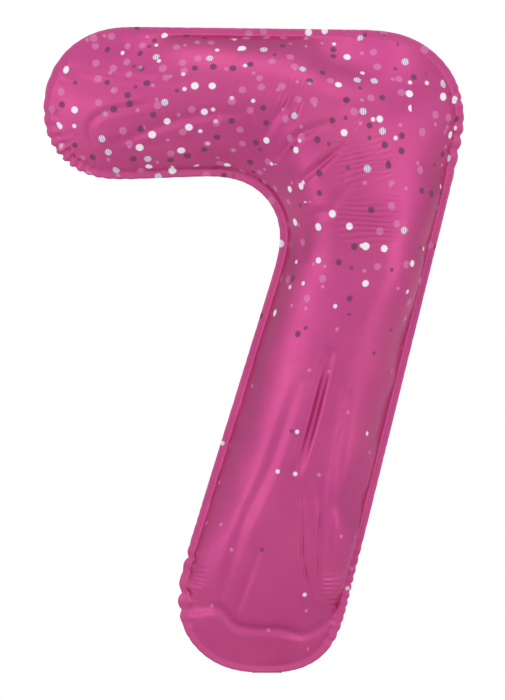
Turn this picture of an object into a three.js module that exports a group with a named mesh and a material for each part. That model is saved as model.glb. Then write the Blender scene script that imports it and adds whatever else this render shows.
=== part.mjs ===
// Foil number balloon: the digit seven, filled and sealed.
// Two printed foil panels are heat-sealed round their rim. A flat tail hangs from the neck at the
// foot of the digit and is folded up behind it. A self-sealing valve of thin film runs from the
// tail through the neck into the gas space.
// Millimetres. X runs to the right, Y to the back and Z up. The origin is the middle of the fold
// between neck and tail, in the plane of the seam.
import * as THREE from "three";

// Inflated outline of the digit at the cut edge of the film, anticlockwise from the front.
const OUTLINE = {
  footLeft: { x: -141, z: 0, radius: 88 },
  footRight: { x: 76, z: 0, radius: 74 },
  shoulder: { x: 267, z: 770, radius: 104 },
  tipTop: { x: -270, z: 777, radius: 94 },
  tipBottom: { x: -270, z: 588, radius: 78 },
  crook: { x: 45, z: 601, radius: 72 },
};

// Layers of the seam, from its middle plane outwards.
const GAP = 0.3;
const FILM = 0.5;
const SEAL_HALF = 0.5;
const SEAM_INNER = SEAL_HALF + GAP;
const SEAM_OUTER = SEAM_INNER + FILM;

// Seam flange and gas space.
const FLANGE = 8.5;
const SEAL_EDGE_INSET = 0.5;
const SEAL_WELD_INSET = 1;
const HALF_THICKNESS = 80;
const FOOT_TAPER = { length: 400, power: 0.6 };
const TIP_TAPER = { length: 400, power: 0.9 };

// Neck, tail and valve.
const TAIL_WIDTH = 36;
const TAIL_START = 5;
const TAIL_LENGTH = 60;
const TAIL_CORNER = 4;
const TAIL_FOLD_DEG = 130;
const NECK_OPENING = 26;
const VALVE_WIDTH = NECK_OPENING - 2 * GAP;
const VALVE_FILM = 0.35;
const VALVE_INSIDE_START = 11;
const VALVE_INSIDE_LENGTH = 116;

// Fineness of the panel: steps along each stretch of a side, and from side to side.
const STEPS = { end: 8, stem: 15, corner: 8, arm: 7 };
const ACROSS = 12;

const finishes = {
  foil: { color: 0xc8508a, roughness: 0.35, metalness: 0.5 },
  seal: { color: 0xb64078, roughness: 0.45, metalness: 0.3 },
  valve: { color: 0xe9e4e2, roughness: 0.4, metalness: 0 },
};

function piece(name, geometry, finish) {
  const mesh = new THREE.Mesh(geometry, new THREE.MeshStandardMaterial(finishes[finish]));
  mesh.name = name;
  return mesh;
}

// ---- Outline: points with their inward direction, from which parallel lines are offset ----

const corners = Object.values(OUTLINE);
const cornerNumber = Object.fromEntries(Object.keys(OUTLINE).map((name, k) => [name, k]));

// Centre, tangent points and turn of the arc that rounds corner k.
function arcAt(k) {
  const last = corners.length - 1;
  const here = new THREE.Vector2(corners[k].x, corners[k].z);
  const before = corners[k === 0 ? last : k - 1];
  const after = corners[k === last ? 0 : k + 1];
  const back = new THREE.Vector2(before.x, before.z).sub(here).normalize();
  const on = new THREE.Vector2(after.x, after.z).sub(here).normalize();
  const half = Math.acos(back.dot(on)) / 2;
  const radius = corners[k].radius;
  const side = on.cross(back) > 0 ? 1 : -1;
  return {
    centre: here.clone().add(back.clone().add(on).setLength(radius / Math.sin(half))),
    entry: here.clone().addScaledVector(back, radius / Math.tan(half)),
    exit: here.clone().addScaledVector(on, radius / Math.tan(half)),
    sweep: side * (Math.PI - 2 * half),
    side,
  };
}

const arcs = corners.map((_, k) => arcAt(k));

// Points round the arc of corner k, in `steps` steps, without its last point.
function bend(name, steps) {
  const arc = arcs[cornerNumber[name]];
  return Array.from({ length: steps }, (_, i) => {
    const point = arc.entry.clone().rotateAround(arc.centre, (arc.sweep * i) / steps);
    const inward = arc.centre.clone().sub(point).setLength(arc.side);
    return { point, inward };
  });
}

// Points along a straight stretch from `from` to `to`, without its last point.
function straight(from, to, steps) {
  const along = to.clone().sub(from).normalize();
  const inward = new THREE.Vector2(-along.y, along.x);
  return Array.from({ length: steps }, (_, i) => ({
    point: from.clone().lerp(to, i / steps),
    inward,
  }));
}

// Points along the straight edge that leaves one corner's arc and meets the next one's.
function edge(name, next, steps) {
  return straight(arcs[cornerNumber[name]].exit, arcs[cornerNumber[next]].entry, steps);
}

// A point of the outline moved inwards.
function inset({ point, inward }, distance) {
  return point.clone().addScaledVector(inward, distance);
}

const UP = new THREE.Vector2(0, 1);
const RIGHT = new THREE.Vector2(1, 0);

// The outer side runs from the neck up the back of the stem, round the shoulder and along the top.
const outerSide = [
  ...bend("footRight", STEPS.end),
  ...edge("footRight", "shoulder", STEPS.stem),
  ...bend("shoulder", STEPS.corner),
  ...edge("shoulder", "tipTop", STEPS.arm),
  ...bend("tipTop", STEPS.end),
  { point: arcs[cornerNumber.tipTop].exit, inward: RIGHT },
];

// The inner side runs from the neck up the front of the stem, round the crook and under the arm.
const innerSide = [
  ...bend("tipBottom", STEPS.end),
  ...edge("tipBottom", "crook", STEPS.arm),
  ...bend("crook", STEPS.corner),
  ...edge("crook", "footLeft", STEPS.stem),
  ...bend("footLeft", STEPS.end),
  { point: arcs[cornerNumber.footLeft].exit, inward: UP },
].reverse();

const rows = outerSide.length;

// Place of column j between the two sides, closer together near the sides.
function columnShare(j) {
  return (1 - Math.cos((Math.PI * j) / ACROSS)) / 2;
}

// The outline at one end of the strip, between its two sides.
function endEdge(row, inward) {
  return Array.from({ length: ACROSS - 1 }, (_, i) => ({
    point: innerSide[row].point.clone().lerp(outerSide[row].point, columnShare(i + 1)),
    inward,
  }));
}

// ---- Panels ----

// Half thickness of the gas space at each row: full along the digit, tapered to both ends.
function rowFullness() {
  const middles = outerSide.map((outer, i) => outer.point.clone().lerp(innerSide[i].point, 0.5));
  const travel = [0];
  for (let i = 1; i < rows; i++) {
    travel.push(travel[i - 1] + middles[i].distanceTo(middles[i - 1]));
  }
  const rise = (distance, { length, power }) =>
    Math.sin((Math.PI / 2) * Math.min(1, distance / length)) ** power;
  const end = travel[rows - 1];
  return travel.map((s) => HALF_THICKNESS * rise(s, FOOT_TAPER) * rise(end - s, TIP_TAPER));
}

const fullness = rowFullness();
const column = ACROSS + 1;
const gridPoint = (i, j) => i * column + j;

// The whole rim in order, each place with the grid point that lies inside it on the weld line.
function rimPlaces() {
  const foot = endEdge(0, UP).map((place, j) => ({ ...place, grid: gridPoint(0, j + 1) }));
  const tip = endEdge(rows - 1, RIGHT).map((place, j) => ({
    ...place,
    grid: gridPoint(rows - 1, j + 1),
  }));
  const outer = outerSide.map((place, i) => ({ ...place, grid: gridPoint(i, ACROSS) }));
  const inner = innerSide.map((place, i) => ({ ...place, grid: gridPoint(i, 0) }));
  return [...foot, ...outer, ...tip.reverse(), ...inner.reverse()];
}

// Points of one face of a front panel: the domed grid inside the weld line, then the cut edge.
function panelFace(weldInset, seamDepth) {
  const points = [];
  for (let i = 0; i < rows; i++) {
    const from = inset(innerSide[i], weldInset);
    const to = inset(outerSide[i], weldInset);
    for (let j = 0; j < column; j++) {
      const place = from.clone().lerp(to, columnShare(j));
      const dome = fullness[i] * Math.sin((Math.PI * j) / ACROSS);
      points.push([place.x, -seamDepth - dome, place.y]);
    }
  }
  for (const { point } of rimPlaces()) points.push([point.x, -seamDepth, point.y]);
  return points;
}

// Triangles of a panel face, anticlockwise seen from the front.
function panelTriangles() {
  const triangles = [];
  for (let i = 0; i < rows - 1; i++) {
    for (let j = 0; j < ACROSS; j++) {
      const [a, b] = [gridPoint(i, j), gridPoint(i, j + 1)];
      const [c, d] = [gridPoint(i + 1, j + 1), gridPoint(i + 1, j)];
      triangles.push([a, b, c], [a, c, d]);
    }
  }
  const rim = rimPlaces();
  const firstRim = rows * column;
  rim.forEach(({ grid }, k) => {
    const next = (k + 1) % rim.length;
    triangles.push([firstRim + k, firstRim + next, rim[next].grid], [firstRim + k, rim[next].grid, grid]);
  });
  return triangles;
}

// A closed sheet between two faces with the same triangles. `near` is the one that faces the front.
function sheet(triangles, near, far) {
  const count = near.length;
  const index = [];
  const open = new Map();
  for (const [a, b, c] of triangles) {
    index.push(a, b, c, c + count, b + count, a + count);
    for (const [p, q] of [[a, b], [b, c], [c, a]]) {
      if (!open.delete(`${q} ${p}`)) open.set(`${p} ${q}`, [p, q]);
    }
  }
  for (const [p, q] of open.values()) index.push(q, p, p + count, q, p + count, q + count);
  const geometry = new THREE.BufferGeometry();
  geometry.setAttribute("position", new THREE.Float32BufferAttribute([...near, ...far].flat(), 3));
  geometry.setIndex(index);
  geometry.computeVertexNormals();
  return geometry;
}

function frontPanel() {
  const outer = panelFace(FLANGE, SEAM_OUTER);
  const inner = panelFace(FLANGE + FILM, SEAM_INNER);
  return sheet(panelTriangles(), outer, inner);
}

function backPanel() {
  const turned = (points) => points.map(([x, y, z]) => [x, -y, z]);
  const outer = turned(panelFace(FLANGE, SEAM_OUTER));
  const inner = turned(panelFace(FLANGE + FILM, SEAM_INNER));
  return sheet(panelTriangles(), inner, outer);
}

// ---- Seal: a flat band between the flanges, all round but for the opening at the neck ----

function perimeterSeal() {
  const mouth = NECK_OPENING / 2;
  const places = [
    { point: new THREE.Vector2(mouth, 0), inward: UP },
    ...outerSide,
    ...innerSide.slice().reverse(),
    { point: new THREE.Vector2(-mouth, 0), inward: UP },
  ];
  const face = (y) =>
    places.flatMap((place) =>
      [SEAL_EDGE_INSET, FLANGE - SEAL_WELD_INSET].map((distance) => {
        const at = inset(place, distance);
        return [at.x, y, at.y];
      }),
    );
  const triangles = [];
  for (let k = 0; k < 2 * (places.length - 1); k += 2) {
    triangles.push([k, k + 2, k + 3], [k, k + 3, k + 1]);
  }
  return sheet(triangles, face(-SEAL_HALF), face(SEAL_HALF));
}

// ---- Flat strips of film: tail plies, side seals and valve ----

// An upright strip from `bottom` to `top` in Z and `left` to `right` in X, from `front` to `back` in Y.
function strip({ left, right, bottom, top, front, back, corner = 0 }) {
  const shape = new THREE.Shape();
  shape.moveTo(left, top);
  shape.lineTo(left, bottom + corner);
  if (corner) shape.absarc(left + corner, bottom + corner, corner, Math.PI, 1.5 * Math.PI);
  shape.lineTo(right - corner, bottom);
  if (corner) shape.absarc(right - corner, bottom + corner, corner, 1.5 * Math.PI, 2 * Math.PI);
  shape.lineTo(right, top);
  const geometry = new THREE.ExtrudeGeometry(shape, {
    depth: back - front,
    bevelEnabled: false,
    curveSegments: 5,
  });
  return geometry.rotateX(Math.PI / 2).translate(0, back, 0);
}

// The front or back valve film over a stretch of height.
function valveFilm(facing, bottom, top) {
  const near = GAP / 2;
  const far = near + VALVE_FILM;
  const [front, back] = facing === "front" ? [-far, -near] : [near, far];
  return strip({ left: -VALVE_WIDTH / 2, right: VALVE_WIDTH / 2, bottom, top, front, back });
}

function tailPly(facing) {
  const [front, back] = facing === "front" ? [-SEAM_OUTER, -SEAM_INNER] : [SEAM_INNER, SEAM_OUTER];
  return strip({
    left: -TAIL_WIDTH / 2,
    right: TAIL_WIDTH / 2,
    bottom: -TAIL_START - TAIL_LENGTH,
    top: -TAIL_START,
    front,
    back,
    corner: TAIL_CORNER,
  });
}

// The seal along the left or right edge of the tail, short of its round corner.
function tailSeal(side) {
  const inner = NECK_OPENING / 2;
  const outer = TAIL_WIDTH / 2 - SEAL_EDGE_INSET;
  const [left, right] = side === "right" ? [inner, outer] : [-outer, -inner];
  return strip({
    left,
    right,
    bottom: -TAIL_START - TAIL_LENGTH + TAIL_CORNER,
    top: -TAIL_START,
    front: -SEAL_HALF,
    back: SEAL_HALF,
  });
}

// The tail is drawn hanging down and folded up behind the balloon about the origin.
function tail() {
  const group = new THREE.Group();
  const inletBottom = -TAIL_START - TAIL_LENGTH + TAIL_CORNER;
  group.add(piece("tail_front_ply", tailPly("front"), "foil"));
  group.add(piece("tail_back_ply", tailPly("back"), "foil"));
  group.add(piece("tail_left_seal", tailSeal("left"), "seal"));
  group.add(piece("tail_right_seal", tailSeal("right"), "seal"));
  group.add(piece("valve_inlet_front_film", valveFilm("front", inletBottom, -TAIL_START), "valve"));
  group.add(piece("valve_inlet_back_film", valveFilm("back", inletBottom, -TAIL_START), "valve"));
  group.rotation.x = THREE.MathUtils.degToRad(TAIL_FOLD_DEG);
  return group;
}

// The valve film that is held between the flanges at the neck.
function valveNeck() {
  const group = new THREE.Group();
  group.add(piece("valve_neck_front_film", valveFilm("front", GAP, FLANGE + 1), "valve"));
  group.add(piece("valve_neck_back_film", valveFilm("back", GAP, FLANGE + 1), "valve"));
  return group;
}

// The loose end of the valve, inside the gas space.
function valveInside() {
  const group = new THREE.Group();
  const top = VALVE_INSIDE_START + VALVE_INSIDE_LENGTH;
  group.add(piece("valve_inner_front_film", valveFilm("front", VALVE_INSIDE_START, top), "valve"));
  group.add(piece("valve_inner_back_film", valveFilm("back", VALVE_INSIDE_START, top), "valve"));
  return group;
}

const balloon = new THREE.Group();
balloon.add(piece("front_panel", frontPanel(), "foil"));
balloon.add(piece("back_panel", backPanel(), "foil"));
balloon.add(piece("perimeter_seal", perimeterSeal(), "seal"));
balloon.add(tail());
balloon.add(valveNeck());
balloon.add(valveInside());

export default balloon;
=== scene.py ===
"""Foil balloon in the shape of the digit seven.

Two printed foil panels are cut flat, welded round the rim and filled by cloth simulation, which
gives the film its bulge, creases and puckered seam. The tail, its seals and the valve are thin
films built as grids. Metres, X right, Y back, Z up, origin at the fold of the neck.
"""
import math

import bpy
import numpy as np
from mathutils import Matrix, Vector
from mathutils.geometry import delaunay_2d_cdt


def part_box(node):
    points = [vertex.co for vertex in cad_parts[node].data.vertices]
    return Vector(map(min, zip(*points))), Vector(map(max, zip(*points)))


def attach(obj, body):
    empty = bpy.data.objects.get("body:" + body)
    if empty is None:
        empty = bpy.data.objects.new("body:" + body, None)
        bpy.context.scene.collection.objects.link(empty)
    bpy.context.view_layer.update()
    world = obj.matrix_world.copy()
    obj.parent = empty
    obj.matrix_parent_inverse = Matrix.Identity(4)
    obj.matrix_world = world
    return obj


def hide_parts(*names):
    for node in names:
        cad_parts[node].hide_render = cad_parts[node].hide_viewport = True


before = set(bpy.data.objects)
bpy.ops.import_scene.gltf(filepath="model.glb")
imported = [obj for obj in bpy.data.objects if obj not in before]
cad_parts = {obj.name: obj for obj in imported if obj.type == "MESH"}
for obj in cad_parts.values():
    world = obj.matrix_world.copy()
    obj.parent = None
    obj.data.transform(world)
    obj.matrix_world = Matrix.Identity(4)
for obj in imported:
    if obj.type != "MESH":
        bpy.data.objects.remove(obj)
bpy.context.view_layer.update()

MM = 0.001

# Corners of the filled outline at the cut edge, anticlockwise from the crook: x, z, radius, bow (mm).
FILLED_CORNERS = [
    (45, 601, 72, 0),
    (-141, 0, 88, 0),
    (76, 0, 74, 0),
    (267, 770, 104, 0),
    (-270, 777, 94, 0),
    (-270, 588, 78, 0),
]
# The same corners of the flat cut. The filling gas draws the long edges in, so they are cut outside
# the filled outline and bowed; the arm droops as the crook closes, so it is cut steeper.
CUT_CORNERS = [
    (-37, 547, 76, 3),
    (-101, -48, 96, 0),
    (136, -48, 105, 13),
    (291, 746, 164, 4),
    (-250, 843, 110, 0),
    (-298, 663, 76, 0),
]
# The flange outside the weld line, and half the width of the neck and of the opening through it.
FLANGE = 8.5 * MM
NECK_HALF = 18 * MM
OPENING_HALF = 13 * MM

# Thicknesses, how far the valve's films lie from the middle, and what the valve and welds leave free.
FILM = 0.12 * MM
WELD_HALF = 0.15 * MM
GAP = 0.02 * MM
VALVE_NEAR = 0.02 * MM
VALVE_FAR = 0.12 * MM
VALVE_SLACK = 0.3 * MM
VALVE_SPLIT = 1 * MM
WELD_INSET = 0.5 * MM

# The tail hangs from the fold, turned up behind by this angle from straight down.
TAIL_TURN = math.radians(130)
TAIL_GAP = 0.7 * MM
TAIL_CORNER = 4 * MM
TAIL_END = 65 * MM
# Heights between which the valve hangs free in the gas space.
VALVE_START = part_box("valve_inner_front_film")[0].z
VALVE_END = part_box("valve_inner_front_film")[1].z
STRIP_STEP = 1.5 * MM

FLOOR = -0.04
FLOOR_HALF = 8
OBJECT_MIDDLE = (0, 0, 0.39)
# Name, place, width and height, and power in watts.
SOFTBOXES = [
    ("left", (-1.5, -1.1, 0.45), (1.0, 1.9), 3.0),
    ("right", (1.5, -1.1, 0.1), (1.0, 1.9), 4.2),
    ("top", (0, -0.5, 2.2), (1.6, 1.0), 2.4),
]
# The room's brightness in front of the object and behind it.
ROOM_FRONT = 0.92
ROOM_BACK = 0.46
CAMERA_PLACE = (-0.0174, -3, 0.3876)
VIEW_HEIGHT = 0.84

# Colours of the foil, the seal, the valve film and the floor, each between two shades.
FOIL_PINK = (0.67, 0.098, 0.285, 1)
FOIL_DEEP = (0.57, 0.070, 0.262, 1)
FOIL_PALE = (0.72, 0.16, 0.37, 1)
FOIL_GRAIN = (0.44, 0.075, 0.26, 1)
SEAL_DARK = (0.36, 0.05, 0.15, 1)
SEAL_LIGHT = (0.50, 0.09, 0.24, 1)
MILK_DARK = (0.72, 0.74, 0.76, 1)
MILK_LIGHT = (0.86, 0.87, 0.88, 1)
PAPER_DARK = (0.90, 0.90, 0.90, 1)
PAPER_LIGHT = (0.93, 0.93, 0.93, 1)
RIB_PITCH = 1.8 * MM

# Colours of the printed dots, and the stripes and stars among them.
WHITE = (0.93, 0.90, 0.95, 1)
PLUM = (0.105, 0.028, 0.085, 1)
SILVER = (0.50, 0.46, 0.55, 1)
BLUSH = (0.74, 0.27, 0.52, 1)
STRIPE = (0.78, 0.90, 0.92, 1)
STAR = (0.62, 0.42, 0.55, 1)
STRIPE_PITCH = 2.6 * MM
STRIPED_RADIUS = 4.2 * MM
STAR_RADIUS = 4.6 * MM
STAR_ARM = 1.6 * MM

# One large and one small dot can lie in each cell of a lattice, and these are the chances of them.
LARGE_CELL = 22 * MM
SMALL_CELL = 25 * MM
LARGE_CHANCE = 0.86
SMALL_CHANCE = (0.22, 0.62)
# Shifts of the lattice, in metres, for the small dots and from one printed sheet to the next.
SMALL_SALT = 3.1
SHEET_THROW = 1.37
# The dots thin out between these heights, and between these distances from the middle of the print.
DOTS_FADE_DOWN = (0.33, 0.63)
DOTS_FADE_ASIDE = (0.16, 0.28)
DOTS_MIDDLE = 0.02
EDGE_SOFTNESS = 0.7 * MM
SIZE_SPREAD = 0.9 * MM
# Each kind of dot has a share of the random numbers from 0 to 1, a radius, a colour and a cover.
STAR_KINDS = (0.95, 1.01)
SILVER_KINDS = (0.22, 0.34)
LARGE_DOTS = [
    (-0.01, 0.22, 4.4 * MM, WHITE, 1.0),
    (0.22, 0.34, 4.4 * MM, SILVER, 0.95),
    (0.34, 0.62, 4.0 * MM, PLUM, 0.8),
    (0.62, 0.95, 4.6 * MM, BLUSH, 0.5),
]
SMALL_DOTS = [
    (-0.01, 0.28, 2.6 * MM, WHITE, 0.9),
    (0.28, 0.75, 2.3 * MM, BLUSH, 0.65),
    (0.75, 1.01, 2.6 * MM, PLUM, 0.7),
]

# Points on every arc and edge of a sampled outline, and of the cage that carries the cut to its start.
ARC_POINTS = 60
CAGE_POINTS = 40
CARRIED_AT_ONCE = 1500
# The mesh step of the cut, the two fillings, and how often their shape is smoothed afterwards.
COARSE_STEP = 12 * MM
COARSE_FILLING = dict(frames=30, give=30, bend=0.01)
FINE_FILLING = dict(frames=16, give=20, bend=0.005)
SEAM_HOLD = 0.3
CRUMPLE_ROUNDS = 80
CALMING_ROUNDS = 6
# The dome that both panels start with, and how far in from the weld it is full.
START_BULGE = 60 * MM
BULGE_REACH = 100 * MM

# How the filled weld is drawn onto the outline. A point nearer the weld than ON_LINE is on it.
ON_LINE = 0.01 * MM
WELD_ROUNDS = 4
EASING_ROUNDS = 24
LEVELLED_SHARE = 0.9
SEAM_REACH = 45 * MM
KINK_REACH = 10 * MM
SIDE_REACH = 3 * MM

# Places in the X, Z plane in millimetres. Each hump is a centre, its reach and its strength.
CRUMPLED = [
    ((20, 650), 70, 1), ((60, 580), 75, 1), ((75, 490), 60, 1), ((0, 700), 60, 1),
    ((-165, 725), 50, 1), ((-235, 735), 40, 0.6), ((110, 745), 60, 1), ((175, 560), 70, 0.5),
    ((-60, 230), 70, 0.4), ((140, 330), 70, 0.4), ((20, 380), 70, 0.5), ((-60, 660), 60, 0.7),
]
PUCKERED = [
    ((-215, 598), 30, 1), ((-248, 622), 26, 0.8), ((-272, 690), 40, 0.35), ((238, 655), 42, 0.8),
    ((-112, 104), 50, 1), ((98, 92), 42, 1),
]
REFINED_ABOVE = 0.54
REFINED = [
    ((30, 690), 45, 1), ((92, 655), 45, 1), ((116, 610), 45, 1), ((124, 541), 50, 1), ((56, 165), 60, 1),
    ((-92, 117), 26, 1), ((80, 98), 24, 1),
]
SCALLOP = 14.5 * MM
SCALLOP_DEPTH = 6.5 * MM
SCALLOP_LIFT = 2.2 * MM
SCALLOP_REACH = 9 * MM
GATHER_HEIGHT = 0.8 * MM
GATHER_INSET = 11 * MM
GATHER_REACH = 10 * MM
LEAST_PULL = 0.05
LEAST_GATHER = 0.15

# Creases: a path, depth and half width in millimetres.
STEM_CREASES = [
    ([(78, 390), (54, 296), (36, 236)], 7.0, 6.5),
    ([(40, 355), (4, 248), (-29, 176), (-59, 76)], 3.0, 10),
    ([(100, 340), (79, 208), (64, 88)], 2.6, 9),
    ([(-8, 152), (-38, 68)], 2.4, 5),
    ([(61, 232), (64, 168), (60, 88)], 3.0, 4),
    ([(43, 223), (42, 144), (54, 80)], 3.0, 4),
    ([(-108, 70), (-60, 78), (-34, 56), (16, 52), (50, 48), (94, 80)], 5.5, 8),
    ([(-104, 84), (-66, 88)], 4.0, 12),
    ([(60, 70), (90, 88)], 4.0, 12),
]
ARM_CREASES = [
    ([(-205, 632), (-213, 655), (-194, 673), (-140, 683)], 2.4, 6),
    ([(-196, 631), (-160, 644), (-116, 661), (-74, 670), (-20, 672)], 4.0, 8),
    ([(-248, 729), (-209, 719), (-134, 709), (-68, 711)], 2.4, 8),
    ([(-186, 622), (-130, 636), (-78, 640)], 2.0, 7),
]
CROOK_CREASES = [
    ([(36, 586), (79, 622), (93, 636)], 4.5, 6),
    ([(12, 616), (40, 646), (79, 661)], 4.0, 7),
    ([(43, 492), (44, 532), (58, 550), (84, 553)], 3.5, 8),
    ([(-6, 640), (14, 672), (38, 690)], 2.6, 7),
    ([(78, 560), (100, 590), (110, 625)], 2.4, 8),
    ([(-61, 682), (-58, 636)], 1.3, 4),
    ([(-22, 690), (-14, 640)], 1.3, 4),
]
# Patches of fine wrinkles: centre, heading in degrees, reach along and across, pitch, height.
GATHERS = [
    ((32, 690), 68, (22, 16), 6.5, 0.75),
    ((92, 662), 42, (19, 17), 6.5, 0.75),
    ((116, 612), 16, (28, 25), 6.5, 0.85),
    ((124, 541), 0, (36, 27), 6.5, 0.85),
    ((-92, 117), -8, (16, 21), 6.0, 0.8),
    ((80, 98), 4, (13, 20), 6.0, 0.8),
    ((56, 165), 88, (75, 13), 7.0, 0.45),
    ((86, 300), 72, (60, 10), 7.0, 0.35),
]


# ---------------------------------------------------------------- outlines in the X, Z plane

def unit(v):
    return v / np.linalg.norm(v)


def rounded_outline(corners, count):
    """Closed outline with `count` points on every arc and on every edge, anticlockwise."""
    places = [np.array(c[:2], float) for c in corners]
    arcs = []
    for i, here in enumerate(places):
        back = unit(places[i - 1] - here)
        onward = unit(places[(i + 1) % len(places)] - here)
        half = math.acos(back @ onward) / 2
        radius = corners[i][2]
        reach = radius / math.tan(half)
        centre = here + unit(back + onward) * radius / math.sin(half)
        turn = math.copysign(math.pi - 2 * half, onward[0] * back[1] - onward[1] * back[0])
        arcs.append((here + back * reach, here + onward * reach, centre, turn))
    points = []
    for i, (entry, leave, centre, turn) in enumerate(arcs):
        for k in range(count):
            c, s = math.cos(turn * k / count), math.sin(turn * k / count)
            arm = entry - centre
            points.append(centre + (c * arm[0] - s * arm[1], s * arm[0] + c * arm[1]))
        run = arcs[(i + 1) % len(arcs)][0] - leave
        outward = unit(np.array([run[1], -run[0]]))
        for k in range(count):
            t = k / count
            points.append(leave + run * t + outward * corners[i][3] * math.sin(math.pi * t) ** 2)
    return np.array(points) * MM


def evenly(points, step):
    """A closed outline resampled at about `step`."""
    ring = np.vstack([points, points[:1]])
    along = np.r_[0, np.cumsum(np.linalg.norm(np.diff(ring, axis=0), axis=1))]
    places = np.linspace(0, along[-1], max(8, round(along[-1] / step)), endpoint=False)
    return np.column_stack([np.interp(places, along, ring[:, k]) for k in (0, 1)])


def inset(points, distance):
    """A closed anticlockwise outline moved inwards."""
    along = np.roll(points, -1, 0) - np.roll(points, 1, 0)
    along /= np.linalg.norm(along, axis=1)[:, None]
    return points + np.column_stack([-along[:, 1], along[:, 0]]) * distance


def inside(outline, places):
    """True for each place that lies inside the outline, by counting crossings."""
    x, z = places[:, 0][:, None], places[:, 1][:, None]
    ax, az = outline[:, 0], outline[:, 1]
    bx, bz = np.roll(ax, -1), np.roll(az, -1)
    spans = (az > z) != (bz > z)
    with np.errstate(divide="ignore", invalid="ignore"):
        crossing = (bx - ax) * (z - az) / (bz - az) + ax
    return (spans & (x < crossing)).sum(1) % 2 == 1


def nearest_on(outline, places):
    """Distance of each place from the outline, and how far along it the nearest point is."""
    run = np.roll(outline, -1, 0) - outline
    length = np.linalg.norm(run, axis=1)
    start = np.r_[0, np.cumsum(length)[:-1]]
    best = np.full(len(places), 1e9)
    along = np.zeros(len(places))
    for k, a in enumerate(outline):
        t = np.clip((places - a) @ run[k] / length[k] ** 2, 0, 1)
        d = np.linalg.norm(places - a - t[:, None] * run[k], axis=1)
        closer = d < best
        best[closer] = d[closer]
        along[closer] = start[k] + t[closer] * length[k]
    return best, along


def carried(cage, moved, places):
    """Where places go when the outline `cage` is moved to `moved`, by mean value coordinates."""
    result = np.empty_like(places)
    for start in range(0, len(places), CARRIED_AT_ONCE):
        block = places[start:start + CARRIED_AT_ONCE]
        v = cage[None] - block[:, None]
        r = np.linalg.norm(v, axis=2) + 1e-9
        w = np.roll(v, -1, 1)
        angle = np.arctan2(v[..., 0] * w[..., 1] - v[..., 1] * w[..., 0], (v * w).sum(2))
        tangent = np.tan(angle / 2)
        weight = (tangent + np.roll(tangent, 1, 1)) / r
        result[start:start + CARRIED_AT_ONCE] = block + weight @ (moved - cage) / weight.sum(1)[:, None]
    return result


CUT_LINE = evenly(rounded_outline(CUT_CORNERS, ARC_POINTS), COARSE_STEP)
WELD_LINE = evenly(inset(CUT_LINE, FLANGE), COARSE_STEP)
WELD_LENGTH = np.linalg.norm(np.roll(WELD_LINE, -1, 0) - WELD_LINE, axis=1).sum()


# ---------------------------------------------------------------- the flat bag

def flat_bag():
    """The two panels laid flat on each other, joined along the weld line, with the flange as one layer.

    Returns a dict of triangle lists `front`, `back` and `flange`, the flat points, and which points
    are on the back layer.
    """
    outline, weld, step = CUT_LINE, WELD_LINE, COARSE_STEP
    low, high = weld.min(0), weld.max(0)
    lattice = np.array([
        (x + (step / 2 if row % 2 else 0), z)
        for row, z in enumerate(np.arange(low[1], high[1], step * math.sqrt(3) / 2))
        for x in np.arange(low[0], high[0], step)
    ])
    lattice = lattice[inside(weld, lattice)]
    lattice = lattice[nearest_on(weld, lattice)[0] > 0.6 * step]
    n, m = len(outline), len(weld)
    rings = [(i, (i + 1) % n) for i in range(n)] + [(n + i, n + (i + 1) % m) for i in range(m)]
    places = [Vector(p) for p in np.vstack([outline, weld, lattice])]
    verts, _, faces, *_ = delaunay_2d_cdt(places, rings, [], 1, 1e-7)
    points = np.array([(v.x, v.y) for v in verts])
    faces = np.array(faces)
    middles = points[faces].mean(1)
    kept = inside(outline, middles)
    faces, middles = faces[kept], middles[kept]
    a, b, c = points[faces].transpose(1, 0, 2)
    area = (b - a)[:, 0] * (c - a)[:, 1] - (b - a)[:, 1] * (c - a)[:, 0]
    faces[area < 0] = faces[area < 0][:, ::-1]
    in_bag = inside(weld, middles)
    front, flange = faces[in_bag], faces[~in_bag]
    shared = np.unique(flange)
    inner = np.setdiff1d(np.unique(front), shared)
    twin = np.arange(len(points))
    twin[inner] = len(points) + np.arange(len(inner))
    flat = np.vstack([points, points[inner]])
    return {
        "front": front,
        "back": twin[front][:, ::-1],
        "flange": flange,
        "flat": np.column_stack([flat[:, 0], np.zeros(len(flat)), flat[:, 1]]),
        "on_back": np.arange(len(flat)) >= len(points),
    }


PARTS = ("front", "back", "flange")


def refined(bag, shape, wanted=None):
    """The bag with its triangles cut where an edge has both ends wanted, all of them if none is named."""
    faces = np.vstack([bag[part] for part in PARTS])
    edges = np.sort(np.vstack([faces[:, [0, 1]], faces[:, [1, 2]], faces[:, [2, 0]]]), 1)
    unique, where = np.unique(edges, axis=0, return_inverse=True)
    cut = np.ones(len(unique), bool) if wanted is None else wanted[unique].all(1)
    number = np.full(len(unique), -1)
    number[cut] = len(shape) + np.arange(cut.sum())
    mids = number[where.reshape(3, -1)].T
    finer, start = {}, 0
    for part in PARTS:
        stop = start + len(bag[part])
        finer[part] = cut_triangles(faces[start:stop], mids[start:stop])
        start = stop
    finer["flat"] = np.vstack([bag["flat"], bag["flat"][unique[cut]].mean(1)])
    finer["on_back"] = np.r_[bag["on_back"], bag["on_back"][unique[cut]].any(1)]
    return finer, np.vstack([shape, shape[unique[cut]].mean(1)])


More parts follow.
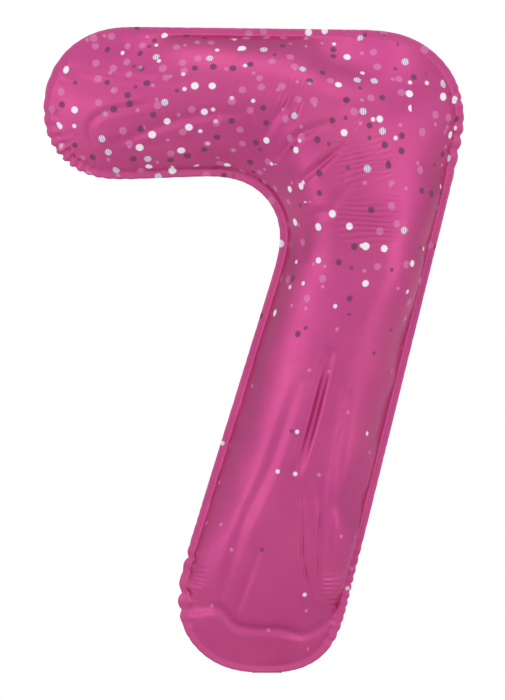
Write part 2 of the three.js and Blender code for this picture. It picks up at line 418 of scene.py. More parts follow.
def cut_triangles(faces, mids):
    """Triangles cut at the middles of their edges, where a middle below zero is an edge left whole."""
    result = []
    for turn in range(3):
        corner, middle = np.roll(faces, -turn, 1), np.roll(mids, -turn, 1)
        split = middle >= 0
        only_first = split[:, 0] & ~split[:, 1] & ~split[:, 2]
        (a, b, c), m = corner[only_first].T, middle[only_first, 0]
        result += [np.column_stack([a, m, c]), np.column_stack([m, b, c])]
        all_but_last = split[:, 0] & split[:, 1] & ~split[:, 2]
        (a, b, c), (m, n, _) = corner[all_but_last].T, middle[all_but_last].T
        result += [np.column_stack([m, b, n]), np.column_stack([a, m, n]), np.column_stack([a, n, c])]
    whole = (mids < 0).all(1)
    every = (mids >= 0).all(1)
    (a, b, c), (m, n, o) = faces[every].T, mids[every].T
    result += [faces[whole]] + [np.column_stack(t) for t in ((a, m, o), (m, b, n), (o, n, c), (m, n, o))]
    return np.vstack(result)


def first_shape(bag):
    """The bag carried to the filled outline, with both panels domed a little."""
    cage = rounded_outline(CUT_CORNERS, CAGE_POINTS)
    moved = rounded_outline(FILLED_CORNERS, CAGE_POINTS)
    plane = bag["flat"][:, [0, 2]]
    place = carried(cage, moved, plane)
    depth = np.where(inside(WELD_LINE, plane), nearest_on(WELD_LINE, plane)[0], 0)
    rise = START_BULGE * np.sqrt(1 - (1 - np.clip(depth / BULGE_REACH, 0, 1)) ** 2)
    return np.column_stack([place[:, 0], np.where(bag["on_back"], rise, -rise), place[:, 1]])


def new_object(name, points, faces):
    mesh = bpy.data.meshes.new(name)
    mesh.from_pydata([tuple(p) for p in points], [], [tuple(f) for f in faces])
    mesh.update()
    obj = bpy.data.objects.new(name, mesh)
    bpy.context.scene.collection.objects.link(obj)
    return obj


def held_groups(obj, bag, shape):
    """Vertex groups for the film that the gas presses on, and for the seam and neck that are held."""
    gas = obj.vertex_groups.new(name="gas")
    panels = np.unique(np.vstack([bag["front"], bag["back"]]))
    gas.add([int(v) for v in panels], 1, "REPLACE")
    seam = obj.vertex_groups.new(name="seam")
    flange = np.unique(bag["flange"])
    seam.add([int(v) for v in np.intersect1d(flange, panels)], SEAM_HOLD, "REPLACE")
    neck = (np.abs(shape[flange, 0]) < NECK_HALF + 2 * MM) & (shape[flange, 2] < 1.5 * FLANGE)
    seam.add([int(v) for v in flange[neck]], 1, "REPLACE")


def gas_filling(obj, give, bend, frames):
    """Film that hardly stretches but crumples easily, pressed outwards by gas. Returns its settings."""
    cloth = obj.modifiers.new("gas", "CLOTH")
    film = cloth.settings
    film.quality = 8
    film.mass = 0.1
    film.tension_stiffness = 400
    film.compression_stiffness = give
    film.shear_stiffness = give
    film.tension_damping = film.compression_damping = film.shear_damping = 5
    film.bending_model = "ANGULAR"
    film.bending_stiffness = bend
    film.bending_damping = 0.5
    film.air_damping = 10
    film.use_pressure = True
    film.uniform_pressure_force = 15
    film.vertex_group_pressure = "gas"
    film.vertex_group_mass = "seam"
    film.effector_weights.gravity = 0
    cloth.collision_settings.use_collision = False
    cloth.collision_settings.use_self_collision = False
    cloth.point_cache.frame_start = 1
    cloth.point_cache.frame_end = frames
    return film


def inflated(bag, shape, frames, give, bend):
    """The bag's shape after gas has pressed on it for some frames of cloth simulation.

    The flat cut sets every rest length. The weld line is drawn softly towards where it starts, and
    the neck is held there.
    """
    obj = new_object("filling", shape, np.vstack([bag["front"], bag["back"], bag["flange"]]))
    held_groups(obj, bag, shape)
    obj.shape_key_add(name="Basis")
    cut = obj.shape_key_add(name="cut")
    cut.data.foreach_set("co", bag["flat"].ravel())
    # The cloth reads its rest shape only after a modifier that isn't a plain deformation.
    weights = obj.modifiers.new("weights", "VERTEX_WEIGHT_EDIT")
    weights.vertex_group = "gas"
    gas_filling(obj, give, bend, frames).rest_shape_key = cut
    for number in range(1, frames + 1):
        bpy.context.scene.frame_set(number)
    done = obj.evaluated_get(bpy.context.evaluated_depsgraph_get())
    result = np.empty(len(shape) * 3, np.float32)
    done.data.vertices.foreach_get("co", result)
    bpy.data.objects.remove(obj)
    bpy.context.scene.frame_set(1)
    return result.reshape(-1, 3).astype(float)


# ---------------------------------------------------------------- from the filling to the finished shape

def averaged(bag, shape, share, rounds):
    """The shape with each point drawn towards the middle of its neighbours by its share."""
    faces = np.vstack([bag[part] for part in PARTS])
    pairs = np.vstack([faces[:, [0, 1]], faces[:, [1, 2]], faces[:, [2, 0]]])
    count = np.bincount(pairs.ravel(), minlength=len(shape))
    for _ in range(rounds):
        moved = np.empty_like(shape)
        for k in range(3):
            total = np.bincount(pairs[:, 0], shape[pairs[:, 1], k], len(shape))
            total += np.bincount(pairs[:, 1], shape[pairs[:, 0], k], len(shape))
            moved[:, k] = shape[:, k] + share * (total / count - shape[:, k])
        shape = moved
    return shape


def humps(plane, places):
    """The full strength at each centre, falling to nothing about two reaches away."""
    total = np.zeros(len(plane))
    for centre, reach, strength in places:
        away = (plane / MM - np.array(centre, float)) / reach
        total += strength * np.exp(-(away ** 2).sum(1))
    return np.clip(total, 0, 1)


def panel_share(bag, shape):
    """Half for every point of the panels, nothing for the flange."""
    share = np.full(len(shape), 0.5)
    share[np.unique(bag["flange"])] = 0
    return share


def calmed(bag, shape):
    """The shape with the coarse crumples in the crook eased out, and the rest smoothed a little."""
    share = panel_share(bag, shape)
    shape = averaged(bag, shape, share * humps(shape[:, [0, 2]], CRUMPLED), CRUMPLE_ROUNDS)
    return averaged(bag, shape, share, CALMING_ROUNDS)


def beside(outline, places):
    """Each place's distance inwards from an outline, how far along it is, and the inward direction there."""
    away, along = nearest_on(outline, places)
    run = np.roll(outline, -1, 0) - outline
    length = np.linalg.norm(run, axis=1)
    marks = np.cumsum(length) - length
    k = np.clip(np.searchsorted(marks, along, side="right") - 1, 0, len(outline) - 1)
    inward = np.column_stack([-run[k, 1], run[k, 0]]) / length[k][:, None]
    return np.where(inside(outline, places), away, -away), along, inward


def around(marks, values, places):
    """Values known at marks along a closed line, read off between them."""
    order = np.argsort(marks)
    marks, values = marks[order], values[order]
    loop = WELD_LENGTH
    marks = np.r_[marks[-1] - loop, marks, marks[0] + loop]
    values = np.vstack([values[-1:], values, values[:1]])
    return np.column_stack([np.interp(places, marks, values[:, k]) for k in range(values.shape[1])])


def eased(values):
    """Values along a closed line, each drawn a few times towards its neighbours."""
    for _ in range(EASING_ROUNDS):
        values = (np.roll(values, 1, 0) + 2 * values + np.roll(values, -1, 0)) / 4
    return values


def drawn_weld(target, weld, sag):
    """The weld's points drawn onto the target outline, and the weld's sag eased along it."""
    for _ in range(WELD_ROUNDS):
        off, _, inward = beside(target, weld)
        weld = weld - off[:, None] * inward
        weld, sag = eased(weld), eased(sag)
    return weld, sag


def levelled(shape, ring, sag, depth, along):
    """Each point's Y with the weld's sag taken out, and with its kinks taken out close to it."""
    inner = np.maximum(depth, 0)
    level = LEVELLED_SHARE * around(along[ring], sag, along)[:, 0]
    kinks = around(along[ring], shape[ring][:, 1:2] - sag, along)[:, 0]
    taken = level * np.exp(-(inner / SEAM_REACH) ** 2) + kinks * np.exp(-(inner / KINK_REACH) ** 2)
    return shape[:, 1] - taken


def kept_inside(target, plane, depth):
    """Places in the X, Z plane, with the panels' places moved in where they had passed the weld."""
    off, _, inward = beside(target, plane)
    kept = np.where(off < SIDE_REACH, SIDE_REACH * np.exp(np.minimum(off / SIDE_REACH - 1, 0)), off)
    push = np.where(depth > ON_LINE, kept - off, 0)
    return plane + push[:, None] * inward


def flange_relaid(target, shape, ring, depth, along):
    """The shape with the flange laid flat and square to the weld, and flat against Y = 0 at the neck."""
    result = shape.copy()
    flange = depth < -ON_LINE
    foot = around(along[ring], shape[ring], along[flange])
    outward = -beside(target, foot[:, [0, 2]])[2]
    foot[:, [0, 2]] += -depth[flange][:, None] * outward
    result[flange] = foot
    at_neck = (depth < ON_LINE) & (result[:, 2] < 2 * FLANGE)
    result[at_neck, 1] *= np.clip((np.abs(result[at_neck, 0]) - NECK_HALF) / NECK_HALF, 0, 1)
    return result


def settled(shape, depth, along):
    """The shape drawn until its weld lies on the filled outline's, level, with the flange flat outside it."""
    target = inset(rounded_outline(FILLED_CORNERS, ARC_POINTS), FLANGE)
    ring = np.flatnonzero(np.abs(depth) < ON_LINE)
    ring = ring[np.argsort(along[ring])]
    weld = shape[ring][:, [0, 2]]
    placed, sag = drawn_weld(target, weld, shape[ring][:, 1:2])
    result = shape.copy()
    result[:, [0, 2]] = carried(weld, placed, shape[:, [0, 2]])
    result[ring[:, None], [0, 2]] = placed
    result[:, 1] = levelled(shape, ring, sag, depth, along)
    result[:, [0, 2]] = kept_inside(target, result[:, [0, 2]], depth)
    return flange_relaid(target, result, ring, depth, along)


def rounded_path(path):
    """A smooth curve through the points of a path."""
    p = np.array(path, float)
    p = np.vstack([2 * p[0] - p[1], p, 2 * p[-1] - p[-2]])
    points = [p[1]]
    for a, b, c, d in zip(p, p[1:], p[2:], p[3:]):
        for t in (0.25, 0.5, 0.75, 1.0):
            bend = (2 * a - 5 * b + 4 * c - d) * t ** 2 + (3 * b - a - 3 * c + d) * t ** 3
            points.append((2 * b + (c - a) * t + bend) / 2)
    return np.array(points)


def groove(plane, path, depth, width):
    """Depth at each place of a crease along a path: a groove with low shoulders that fades at its ends."""
    path = rounded_path(path) * MM
    run = np.diff(path, axis=0)
    length = np.linalg.norm(run, axis=1)
    start = np.r_[0, np.cumsum(length)]
    away = np.full(len(plane), 1e9)
    share = np.zeros(len(plane))
    for k, a in enumerate(path[:-1]):
        t = np.clip((plane - a) @ run[k] / length[k] ** 2, 0, 1)
        d = np.linalg.norm(plane - a - t[:, None] * run[k], axis=1)
        closer = d < away
        away[closer] = d[closer]
        share[closer] = (start[k] + t[closer] * length[k]) / start[-1]
    ratio = (away / (width * MM)) ** 2
    return depth * MM * (1 - 0.8 * ratio) * np.exp(-ratio) * np.sqrt(np.sin(math.pi * share))


def gathers(plane, centre, heading, reach, pitch, height):
    """Height at each place of a patch of fine wrinkles that run along the heading."""
    c, s = math.cos(math.radians(heading)), math.sin(math.radians(heading))
    away = plane / MM - np.array(centre, float)
    onward, across = away @ np.array([c, s]), away @ np.array([-s, c])
    wander = 1.5 * np.sin(onward / 15 + across / 8)
    patch = np.exp(-(onward / reach[0]) ** 4 - (across / reach[1]) ** 4)
    return height * MM * patch * np.cos(2 * math.pi * (across + wander) / pitch)


def creased(bag, shape):
    """Long creases, the fans of fine wrinkles at the crook and the fold across the foot, on both panels."""
    plane = shape[:, [0, 2]]
    inward = sum(groove(plane, *crease) for crease in STEM_CREASES + ARM_CREASES + CROOK_CREASES)
    inward = inward + sum(gathers(plane, *patch) for patch in GATHERS)
    inward[np.unique(bag["flange"])] = 0
    side = np.where(bag["on_back"], 1.0, -1.0)
    result = shape.copy()
    result[:, 1] -= side * inward
    return result


def seam_place(bag):
    """Distance of each point inwards from the weld line on the flat cut, and its place along it."""
    return beside(WELD_LINE, bag["flat"][:, [0, 2]])[:2]


def puckered(bag, shape, depth, along):
    """The seam drawn into scallops at the tight turns of the cut, with gathers that run in from it."""
    plane = shape[:, [0, 2]]
    inward = beside(rounded_outline(FILLED_CORNERS, ARC_POINTS), plane)[2]
    pull = LEAST_PULL + (1 - LEAST_PULL) * humps(plane, PUCKERED)
    pull[(np.abs(plane[:, 0]) < 1.6 * NECK_HALF) & (plane[:, 1] < 4 * FLANGE)] = 0
    uneven = 0.6 + 0.4 * np.sin(along / (0.9 * SCALLOP) + 2.5 * np.sin(along / (2.8 * SCALLOP)))
    pull = pull * uneven
    turn = 2 * math.pi * (along / SCALLOP + 0.9 * np.sin(along / (2.4 * SCALLOP)))
    near = np.exp(-(np.maximum(depth, 0) / SCALLOP_REACH) ** 2)
    draw = SCALLOP_DEPTH * pull * near * (1 - np.abs(np.sin(turn / 2)))
    lift = SCALLOP_LIFT * pull * near * np.cos(turn)
    band = np.exp(-((depth - GATHER_INSET) / GATHER_REACH) ** 2) * (depth > 0)
    gather = GATHER_HEIGHT * (LEAST_GATHER + pull) * band * np.sin(2 * turn)
    side = np.where(bag["on_back"], 1.0, -1.0)
    return shape + np.column_stack([draw * inward[:, 0], lift + side * gather, draw * inward[:, 1]])


def filled_bag():
    """The finished bag, its shape, and each point's place at the seam."""
    bag = flat_bag()
    shape = inflated(bag, first_shape(bag), **COARSE_FILLING)
    bag, shape = refined(bag, shape)
    shape = inflated(bag, shape, **FINE_FILLING)
    shape = calmed(bag, shape)
    shape = settled(shape, *seam_place(bag))
    bag, shape = refined(bag, shape)
    bag, shape = refined(bag, shape, humps(shape[:, [0, 2]], REFINED) > REFINED_ABOVE)
    shape = averaged(bag, shape, panel_share(bag, shape), 2)
    depth, along = seam_place(bag)
    shape = puckered(bag, creased(bag, shape), depth, along)
    return bag, shape, depth, along


# ---------------------------------------------------------------- thin films

def vertex_normals(points, faces):
    a, b, c = points[faces].transpose(1, 0, 2)
    normal = np.cross(b - a, c - a)
    total = np.zeros_like(points)
    for k in range(3):
        np.add.at(total, faces[:, k], normal)
    length = np.linalg.norm(total, axis=1)
    return total / np.maximum(length, 1e-12)[:, None]


def thickened(points, faces, near, far):
    """A closed film between two offsets of a surface along its normals, and the used vertices."""
    used, local = np.unique(faces, return_inverse=True)
    local = local.reshape(-1, 3)
    surface = points[used]
    normal = vertex_normals(surface, local)
    count = len(used)
    edges = np.vstack([local[:, [0, 1]], local[:, [1, 2]], local[:, [2, 0]]])
    known = set(map(tuple, edges.tolist()))
    rim = np.array([e for e in known if (e[1], e[0]) not in known])
    rim = rim[np.lexsort(rim.T)]
    walls = [
        np.column_stack([rim[:, 1], rim[:, 0], rim[:, 0] + count]),
        np.column_stack([rim[:, 1], rim[:, 0] + count, rim[:, 1] + count]),
    ]
    both = np.vstack([surface + normal * far, surface + normal * near])
    return both, np.vstack([local, local[:, ::-1] + count, *walls]), used


def film_object(name, points, faces, near, far, pattern, rim):
    """A film piece with its place on the printed sheet and its place along the seam as attributes."""
    both, all_faces, used = thickened(points, faces, near, far)
    obj = new_object(name, both, all_faces)
    for label, values in (("pattern", pattern), ("rim", rim)):
        layer = obj.data.attributes.new(label, "FLOAT_VECTOR", "POINT")
        layer.data.foreach_set("vector", np.vstack([values[used]] * 2).astype(np.float32).ravel())
    obj.data.polygons.foreach_set("use_smooth", [True] * len(obj.data.polygons))
    return obj


def bag_pieces():
    """Front film, back film and the weld between their flanges."""
    bag, shape, depth, along = filled_bag()
    pattern = bag["flat"][:, [0, 2, 1]]
    back_pattern = pattern + np.array([0, 0, 1])
    rim = np.column_stack([along, depth, np.zeros(len(depth))])
    near = WELD_HALF + GAP
    front = film_object(
        "front_film", shape, np.vstack([bag["front"], bag["flange"]]), near, near + FILM, pattern, rim)
    back = film_object(
        "back_film", shape, np.vstack([bag["back"], bag["flange"][:, ::-1]]), near, near + FILM,
        back_pattern, rim)
    middle = shape[bag["flange"]].mean(1)
    mouth = (np.abs(middle[:, 0]) < OPENING_HALF) & (middle[:, 2] < 1.5 * FLANGE)
    band = film_object("rim_weld", shape, bag["flange"][~mouth], -WELD_HALF, WELD_HALF, pattern, rim)
    return front, back, band


def strip(name, across, along, place, near, far, corner=0.0):
    """A film strip between two limits across and two along. `place` gives the middle surface in 3-D."""
    rows = np.linspace(*along, max(2, round((along[1] - along[0]) / STRIP_STEP)))
    columns = np.linspace(*across, max(2, round((across[1] - across[0]) / STRIP_STEP)))
    middle = (across[0] + across[1]) / 2
    flat = []
    for s in rows:
        past = max(0.0, s - (along[1] - corner))
        lost = corner - math.sqrt(max(0.0, corner ** 2 - past ** 2))
        narrow = 1 - lost / ((across[1] - across[0]) / 2)
        flat += [(middle + (x - middle) * narrow, s) for x in columns]
    n = len(columns)
    faces = []
    for i in range(len(rows) - 1):
        for j in range(n - 1):
            a = i * n + j
            faces += [(a, a + 1, a + n + 1), (a, a + n + 1, a + n)]
    flat = np.array(flat)
    points = np.array([place(x, s) for x, s in flat])
    pattern = np.column_stack([flat[:, 0], -flat[:, 1], np.zeros(len(flat))])
    return film_object(name, points, np.array(faces), near, far, pattern, np.ones_like(pattern))


def tail_place(x, s):
    """A point of the tail's middle surface: it leaves the fold flat and ripples further out."""
    free = s / TAIL_END
    ripple = 0.6 * math.sin(x / (7 * MM) + 3 * free) + 0.5 * math.sin(9 * free + x / (11 * MM))
    along = np.array([0, math.sin(TAIL_TURN), -math.cos(TAIL_TURN)])
    outward = np.array([0, -math.cos(TAIL_TURN), -math.sin(TAIL_TURN)])
    return np.array([x, 0, 0]) + s * along + ripple * free * MM * outward


def valve_place(x, z):
    """A point of the valve's middle surface inside the bag, limp and slightly curled."""
    free = max(0.0, z - VALVE_START) / (VALVE_END - VALVE_START)
    sway = 0.9 * math.sin(7 * free) * free + 0.5 * math.cos(x / (6 * MM)) * free
    return np.array([x, sway * MM, z])


def neck_place(x, z):
    return np.array([x, 0, z])


def film_strips():
    """Tail films, their welds and the valve's films, by name.

    The tail runs downwards from the fold, so its surface normal points to the back. The valve's
    strips in the neck and the bag run upwards, so theirs points to the front.
    """
    near = WELD_HALF + GAP
    half = OPENING_HALF - VALVE_SLACK
    weld_edge = NECK_HALF - WELD_INSET
    ply = dict(across=(-NECK_HALF, NECK_HALF), along=(TAIL_GAP, TAIL_END), place=tail_place,
               corner=TAIL_CORNER)
    edge = dict(along=(TAIL_GAP, TAIL_END - TAIL_CORNER), place=tail_place, near=-WELD_HALF, far=WELD_HALF)
    inlet = dict(across=(-half, half), along=(TAIL_GAP, TAIL_END - TAIL_CORNER), place=tail_place)
    neck = dict(across=(-half, half), along=(TAIL_GAP, VALVE_START - VALVE_SPLIT), place=neck_place)
    inner = dict(across=(-half, half), along=(VALVE_START, VALVE_END), place=valve_place)
    behind = dict(near=-VALVE_FAR, far=-VALVE_NEAR)
    ahead = dict(near=VALVE_NEAR, far=VALVE_FAR)
    return {
        "tail_front_film": strip("tail_front_film", near=-near - FILM, far=-near, **ply),
        "tail_back_film": strip("tail_back_film", near=near, far=near + FILM, **ply),
        "tail_left_weld": strip("tail_left_weld", across=(-weld_edge, -OPENING_HALF), **edge),
        "tail_right_weld": strip("tail_right_weld", across=(OPENING_HALF, weld_edge), **edge),
        "valve_inlet_front": strip("valve_inlet_front", **inlet, **behind),
        "valve_inlet_back": strip("valve_inlet_back", **inlet, **ahead),
        "valve_neck_front": strip("valve_neck_front", **neck, **ahead),
        "valve_neck_back": strip("valve_neck_back", **neck, **behind),
        "valve_inner_front": strip("valve_inner_front", **inner, **ahead),
        "valve_inner_back": strip("valve_inner_back", **inner, **behind),
    }


# ---------------------------------------------------------------- materials

class Nodes:
    """A material's nodes, added one by one and joined to numbers, colours or other nodes' outputs."""

    def __init__(self, name):
        self.material = bpy.data.materials.new(name)
        self.material.use_nodes = True
        self.tree = self.material.node_tree
        self.tree.nodes.clear()

    def add(self, kind, inputs=(), output=0, **settings):
        node = self.tree.nodes.new("ShaderNode" + kind)
        for name, value in settings.items():
            setattr(node, name, value)
        for key, value in dict(inputs).items():
            if isinstance(value, bpy.types.NodeSocket):
                self.tree.links.new(value, node.inputs[key])
            else:
                node.inputs[key].default_value = value
        return node.outputs[output]

    def math(self, operation, a, b=0.0):
        return self.add("Math", {0: a, 1: b}, operation=operation)

    def parts(self, vector):
        """The X, Y and Z of a vector."""
        return list(self.add("SeparateXYZ", {0: vector}).node.outputs)

    def ramp(self, value, low, high, start=0.0, end=1.0):
        """`start` below low, `end` above high, and a straight line between."""
        limits = {"Value": value, "From Min": low, "From Max": high, "To Min": start, "To Max": end}
        return self.add("MapRange", limits)

    def mix(self, share, a, b):
        return self.add("Mix", {0: share, 6: a, 7: b}, 2, data_type="RGBA")

    def noise(self, where, scale, detail=2.0, roughness=0.5):
        inputs = {"Vector": where, "Scale": scale, "Detail": detail, "Roughness": roughness}
        return self.add("TexNoise", inputs)

    def bump(self, height, distance, strength, normal=None):
        inputs = {"Height": height, "Distance": distance, "Strength": strength}
        if normal is not None:
            inputs["Normal"] = normal
        return self.add("Bump", inputs)

    def surface(self, inputs):
        shader = self.add("BsdfPrincipled", inputs)
        node = self.tree.nodes.new("ShaderNodeOutputMaterial")
        self.tree.links.new(shader, node.inputs["Surface"])
        return self.material


def scattered_dots(n, plane, cell, salt):
    """One dot at random in each cell: distance from its middle, offset from it and three random numbers.

    The plane's third coordinate numbers the printed sheets, so that no two have the same dots.
    """
    moved = n.add("VectorMath", {0: plane, 1: (salt, 0.7 * salt, 0)}, operation="ADD")
    throw = n.math("MULTIPLY", n.parts(plane)[2], SHEET_THROW)
    throw = n.add("CombineXYZ", {0: throw, 1: throw, 2: 0.0})
    moved = n.add("VectorMath", {0: moved, 1: throw}, operation="ADD")
    node = n.tree.nodes.new("ShaderNodeTexVoronoi")
    node.voronoi_dimensions = "2D"
    node.inputs["Scale"].default_value = 1 / cell
    node.inputs["Randomness"].default_value = 0.85
    n.tree.links.new(moved, node.inputs["Vector"])
    distance = n.math("MULTIPLY", node.outputs["Distance"], cell)
    offset = n.add("VectorMath", {0: moved, 1: node.outputs["Position"]}, operation="SUBTRACT")
    split = n.tree.nodes.new("ShaderNodeSeparateColor")
    n.tree.links.new(node.outputs["Color"], split.inputs[0])
    return distance, offset, list(split.outputs)


def between(n, value, low, high):
    """1 where a random number is between two limits."""
    return n.math("MULTIPLY", n.math("GREATER_THAN", value, low), n.math("LESS_THAN", value, high))


def disc(n, distance, radius):
    """1 within the radius, with a slightly soft edge."""
    return n.ramp(distance, radius - EDGE_SOFTNESS, radius + EDGE_SOFTNESS, 1.0, 0.0)


def crowding(n, x, z):
    """How thickly the dots lie: 1 in the middle at the top, less at the sides, 0 low in the stem."""
    down = n.ramp(z, *DOTS_FADE_DOWN)
    aside = n.ramp(n.math("ABSOLUTE", n.math("ADD", x, DOTS_MIDDLE)), *DOTS_FADE_ASIDE, 1.0, 0.55)
    return n.math("MULTIPLY", down, aside)


def shown(n, kind, limits, shape, present):
    """A mask of one kind of dot: its shape, in the cells that have one."""
    return n.math("MULTIPLY", n.math("MULTIPLY", between(n, kind, *limits), shape), present)


def small_dots(n, plane, crowd, colour, ink):
    """Plain small dots, a few of them all the way down the stem."""
    distance, _, (kind, chance, _) = scattered_dots(n, plane, SMALL_CELL, SMALL_SALT)
    present = n.math("LESS_THAN", chance, n.ramp(crowd, 0.0, 1.0, *SMALL_CHANCE))
    for low, high, radius, tint, cover in SMALL_DOTS:
        mask = n.math("MULTIPLY", shown(n, kind, (low, high), disc(n, distance, radius), present), cover)
        colour = n.mix(mask, colour, tint)
        ink = n.math("MAXIMUM", ink, mask)
    return colour, ink


def large_dots(n, plane, crowd, colour, ink):
    """Plain dots of uneven size, stripes across the silver ones, and eight-armed stars."""
    distance, offset, (kind, chance, shade) = scattered_dots(n, plane, LARGE_CELL, 0.0)
    present = n.math("LESS_THAN", chance, n.math("MULTIPLY", crowd, LARGE_CHANCE))
    for low, high, radius, tint, cover in LARGE_DOTS:
        size = n.math("ADD", radius, n.math("MULTIPLY", n.math("SUBTRACT", shade, 0.5), SIZE_SPREAD))
        edge = disc(n, n.math("SUBTRACT", distance, size), 0.0)
        mask = n.math("MULTIPLY", shown(n, kind, (low, high), edge, present), cover)
        colour = n.mix(mask, colour, tint)
        ink = n.math("MAXIMUM", ink, mask)
    stripe = n.math("SINE", n.math("MULTIPLY", n.parts(plane)[0], 2 * math.pi / STRIPE_PITCH))
    striped = shown(n, kind, SILVER_KINDS, disc(n, distance, STRIPED_RADIUS), present)
    colour = n.mix(n.math("MULTIPLY", striped, n.ramp(stripe, -0.2, 0.7)), colour, STRIPE)
    arms = n.math("ABSOLUTE", n.math("SINE", n.math("MULTIPLY", angle_of(n, offset), 4)))
    thin = n.math("LESS_THAN", n.math("MULTIPLY", arms, distance), STAR_ARM)
    star = shown(n, kind, STAR_KINDS, disc(n, distance, STAR_RADIUS), present)
    star = n.math("MULTIPLY", star, n.math("MULTIPLY", thin, 0.7))
    return n.mix(star, colour, STAR), n.math("MAXIMUM", ink, star)


def confetti(n, plane, colour):
    """Printed dots over a colour: dense at the top, thinning out down the stem.

    Returns the new colour and how much ink covers the metal.
    """
    x, z, _ = n.parts(plane)
    crowd = crowding(n, x, z)
    colour, ink = small_dots(n, plane, crowd, colour, 0.0)
    return large_dots(n, plane, crowd, colour, ink)


def angle_of(n, offset):
    x, z, _ = n.parts(offset)
    return n.math("ARCTAN2", z, x)


def seal_ribs(n, along):
    """Waves along the seam, as the ribbed sealing jaw leaves them."""
    return n.math("SINE", n.math("MULTIPLY", along, 2 * math.pi / RIB_PITCH))


def foil_material():
    """Satin pink metallised film with printed confetti, faint rolling marks and a heat-sealed flange."""
    n = Nodes("printed_foil")
    pattern = n.add("Attribute", attribute_name="pattern").node.outputs["Vector"]
    rim = n.add("Attribute", attribute_name="rim").node.outputs["Vector"]
    turned = n.add("VectorMath", {0: pattern, 1: (1, 1, 0)}, operation="MULTIPLY")
    broad = n.noise(turned, 9.0, 3.0)
    fine = n.noise(turned, 140.0, 4.0, 0.6)
    colour = n.mix(n.ramp(broad, 0.3, 0.7), FOIL_DEEP, FOIL_PINK)
    grain = n.noise(turned, 700.0, 2.0, 0.7)
    colour = n.mix(n.ramp(grain, 0.3, 0.7, 0.0, 0.22), colour, FOIL_GRAIN)
    along, depth, _ = n.parts(rim)
    flange = n.ramp(depth, -0.4 * MM, 0.4 * MM, 1.0, 0.0)
    colour = n.mix(n.math("MULTIPLY", flange, 0.10), colour, FOIL_PALE)
    colour, ink = confetti(n, pattern, colour)
    ribs = n.math("MULTIPLY", seal_ribs(n, along), flange)
    crinkle = n.noise(turned, 55.0, 3.0, 0.55)
    normal = n.bump(crinkle, 0.9 * MM, 0.35)
    normal = n.bump(fine, 0.15 * MM, 0.35, normal)
    normal = n.bump(ribs, 0.12 * MM, 0.6, normal)
    roughness = n.ramp(n.noise(turned, 30.0, 4.0), 0.3, 0.7, 0.34, 0.42)
    return n.surface({
        "Base Color": colour,
        "Metallic": n.ramp(ink, 0.0, 1.0, 0.88, 0.12),
        "Roughness": n.math("ADD", roughness, n.math("MULTIPLY", ink, 0.12)),
        "Normal": normal,
    })


def seal_material():
    """The fused band between the flanges: duller than the foil, with the sealing jaw's fine ribs."""
    n = Nodes("fused_seal")
    rim = n.add("Attribute", attribute_name="rim").node.outputs["Vector"]
    ribs = seal_ribs(n, n.parts(rim)[0])
    cloud = n.noise(rim, 60.0, 3.0)
    return n.surface({
        "Base Color": n.mix(cloud, SEAL_DARK, SEAL_LIGHT),
        "Metallic": 0.5,
        "Roughness": n.ramp(cloud, 0.3, 0.7, 0.4, 0.55),
        "Normal": n.bump(ribs, 0.1 * MM, 0.6),
    })


def valve_material():
    """Milky, slightly crinkled clear film."""
    n = Nodes("milky_film")
    where = n.add("TexCoord", output=3)
    cloud = n.noise(where, 90.0, 4.0)
    return n.surface({
        "Base Color": n.mix(cloud, MILK_DARK, MILK_LIGHT),
        "Roughness": n.ramp(cloud, 0.3, 0.7, 0.28, 0.42),
        "Transmission Weight": 0.35,
        "IOR": 1.5,
        "Normal": n.bump(cloud, 0.3 * MM, 0.4),
    })


def floor_material():
    """Pale matt paper."""
    n = Nodes("studio_paper")
    where = n.add("TexCoord", output=3)
    cloud = n.noise(where, 3.0, 2.0)
    return n.surface({
        "Base Color": n.mix(cloud, PAPER_DARK, PAPER_LIGHT),
        "Roughness": 0.9,
    })


# ---------------------------------------------------------------- stage

def floor():
    """A wide pale floor, well below the object."""
    signs = ((-1, -1), (1, -1), (1, 1), (-1, 1))
    corners = [(x * FLOOR_HALF, y * FLOOR_HALF, FLOOR) for x, y in signs]
    obj = new_object("floor", corners, [(0, 1, 2, 3)])
    obj.data.materials.append(floor_material())


def softbox(name, place, aim, size, power):
    light = bpy.data.lights.new(name, "AREA")
    light.shape = "RECTANGLE"
    light.size, light.size_y = size
    light.energy = power
    obj = bpy.data.objects.new(name, light)
    obj.location = place
    obj.rotation_euler = (Vector(aim) - Vector(place)).to_track_quat("-Z", "Y").to_euler()
    bpy.context.scene.collection.objects.link(obj)


def studio():
    floor()
    for name, place, size, power in SOFTBOXES:
        softbox("softbox_" + name, place, OBJECT_MIDDLE, size, power)
    room()
    bpy.context.scene.view_settings.view_transform = "Standard"


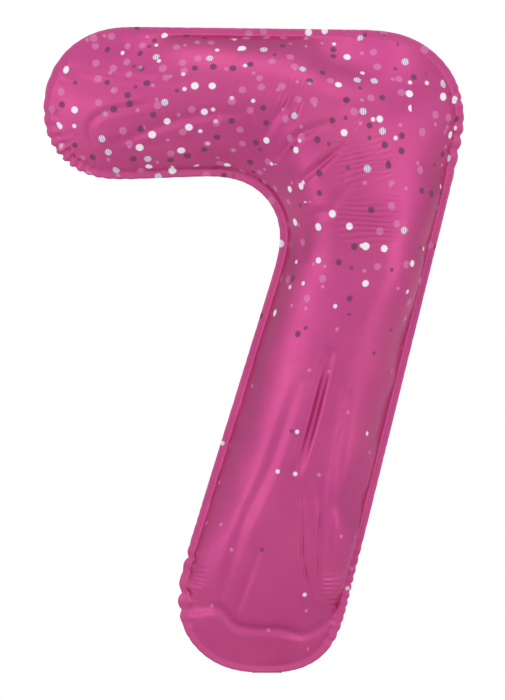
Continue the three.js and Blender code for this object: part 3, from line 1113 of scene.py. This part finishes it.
def room():
    """Soft light from all round, brighter from the front than from behind, before a white background."""
    world = bpy.data.worlds.new("room")
    world.use_nodes = True
    tree = world.node_tree
    light = tree.nodes["Background"]
    where = tree.nodes.new("ShaderNodeTexCoord")
    split = tree.nodes.new("ShaderNodeSeparateXYZ")
    level = tree.nodes.new("ShaderNodeMapRange")
    tree.links.new(where.outputs["Generated"], split.inputs[0])
    tree.links.new(split.outputs[1], level.inputs["Value"])
    limits = {"From Min": -0.3, "From Max": 0.7, "To Min": ROOM_FRONT, "To Max": ROOM_BACK}
    for name, value in limits.items():
        level.inputs[name].default_value = value
    light.inputs["Color"].default_value = (1, 1, 1, 1)
    tree.links.new(level.outputs[0], light.inputs["Strength"])
    paper = tree.nodes.new("ShaderNodeBackground")
    paper.inputs["Color"].default_value = (1, 1, 1, 1)
    choice = tree.nodes.new("ShaderNodeMixShader")
    ray = tree.nodes.new("ShaderNodeLightPath")
    tree.links.new(ray.outputs["Is Camera Ray"], choice.inputs[0])
    tree.links.new(light.outputs[0], choice.inputs[1])
    tree.links.new(paper.outputs[0], choice.inputs[2])
    tree.links.new(choice.outputs[0], tree.nodes["World Output"].inputs["Surface"])
    bpy.context.scene.world = world


def camera():
    """Straight on from the front, with parallel sight lines."""
    data = bpy.data.cameras.new("camera")
    data.type = "ORTHO"
    data.ortho_scale = VIEW_HEIGHT
    obj = bpy.data.objects.new("camera", data)
    obj.location = CAMERA_PLACE
    obj.rotation_euler = (math.pi / 2, 0, 0)
    bpy.context.scene.collection.objects.link(obj)
    bpy.context.scene.camera = obj


# ---------------------------------------------------------------- the object

def build():
    front, back, band = bag_pieces()
    strips = film_strips()
    foil, seal, valve = foil_material(), seal_material(), valve_material()
    rows = [
        (front, "front_panel", "balloon", "foil", foil),
        (back, "back_panel", "balloon", "foil", foil),
        (band, "perimeter_seal", "balloon", "seal", seal),
        (strips["tail_front_film"], "tail_front_ply", "tail", "foil", foil),
        (strips["tail_back_film"], "tail_back_ply", "tail", "foil", foil),
        (strips["tail_left_weld"], "tail_left_seal", "tail", "seal", seal),
        (strips["tail_right_weld"], "tail_right_seal", "tail", "seal", seal),
        (strips["valve_inlet_front"], "valve_inlet_front_film", "tail", "valve", valve),
        (strips["valve_inlet_back"], "valve_inlet_back_film", "tail", "valve", valve),
        (strips["valve_neck_front"], "valve_neck_front_film", "balloon", "valve", valve),
        (strips["valve_neck_back"], "valve_neck_back_film", "balloon", "valve", valve),
        (strips["valve_inner_front"], "valve_inner_front_film", "valve_front", "valve", valve),
        (strips["valve_inner_back"], "valve_inner_back_film", "valve_back", "valve", valve),
    ]
    for piece, node, body, slot, material in rows:
        piece.data.materials.append(material)
        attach(piece, body)
        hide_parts(node)


camera()
studio()
build()
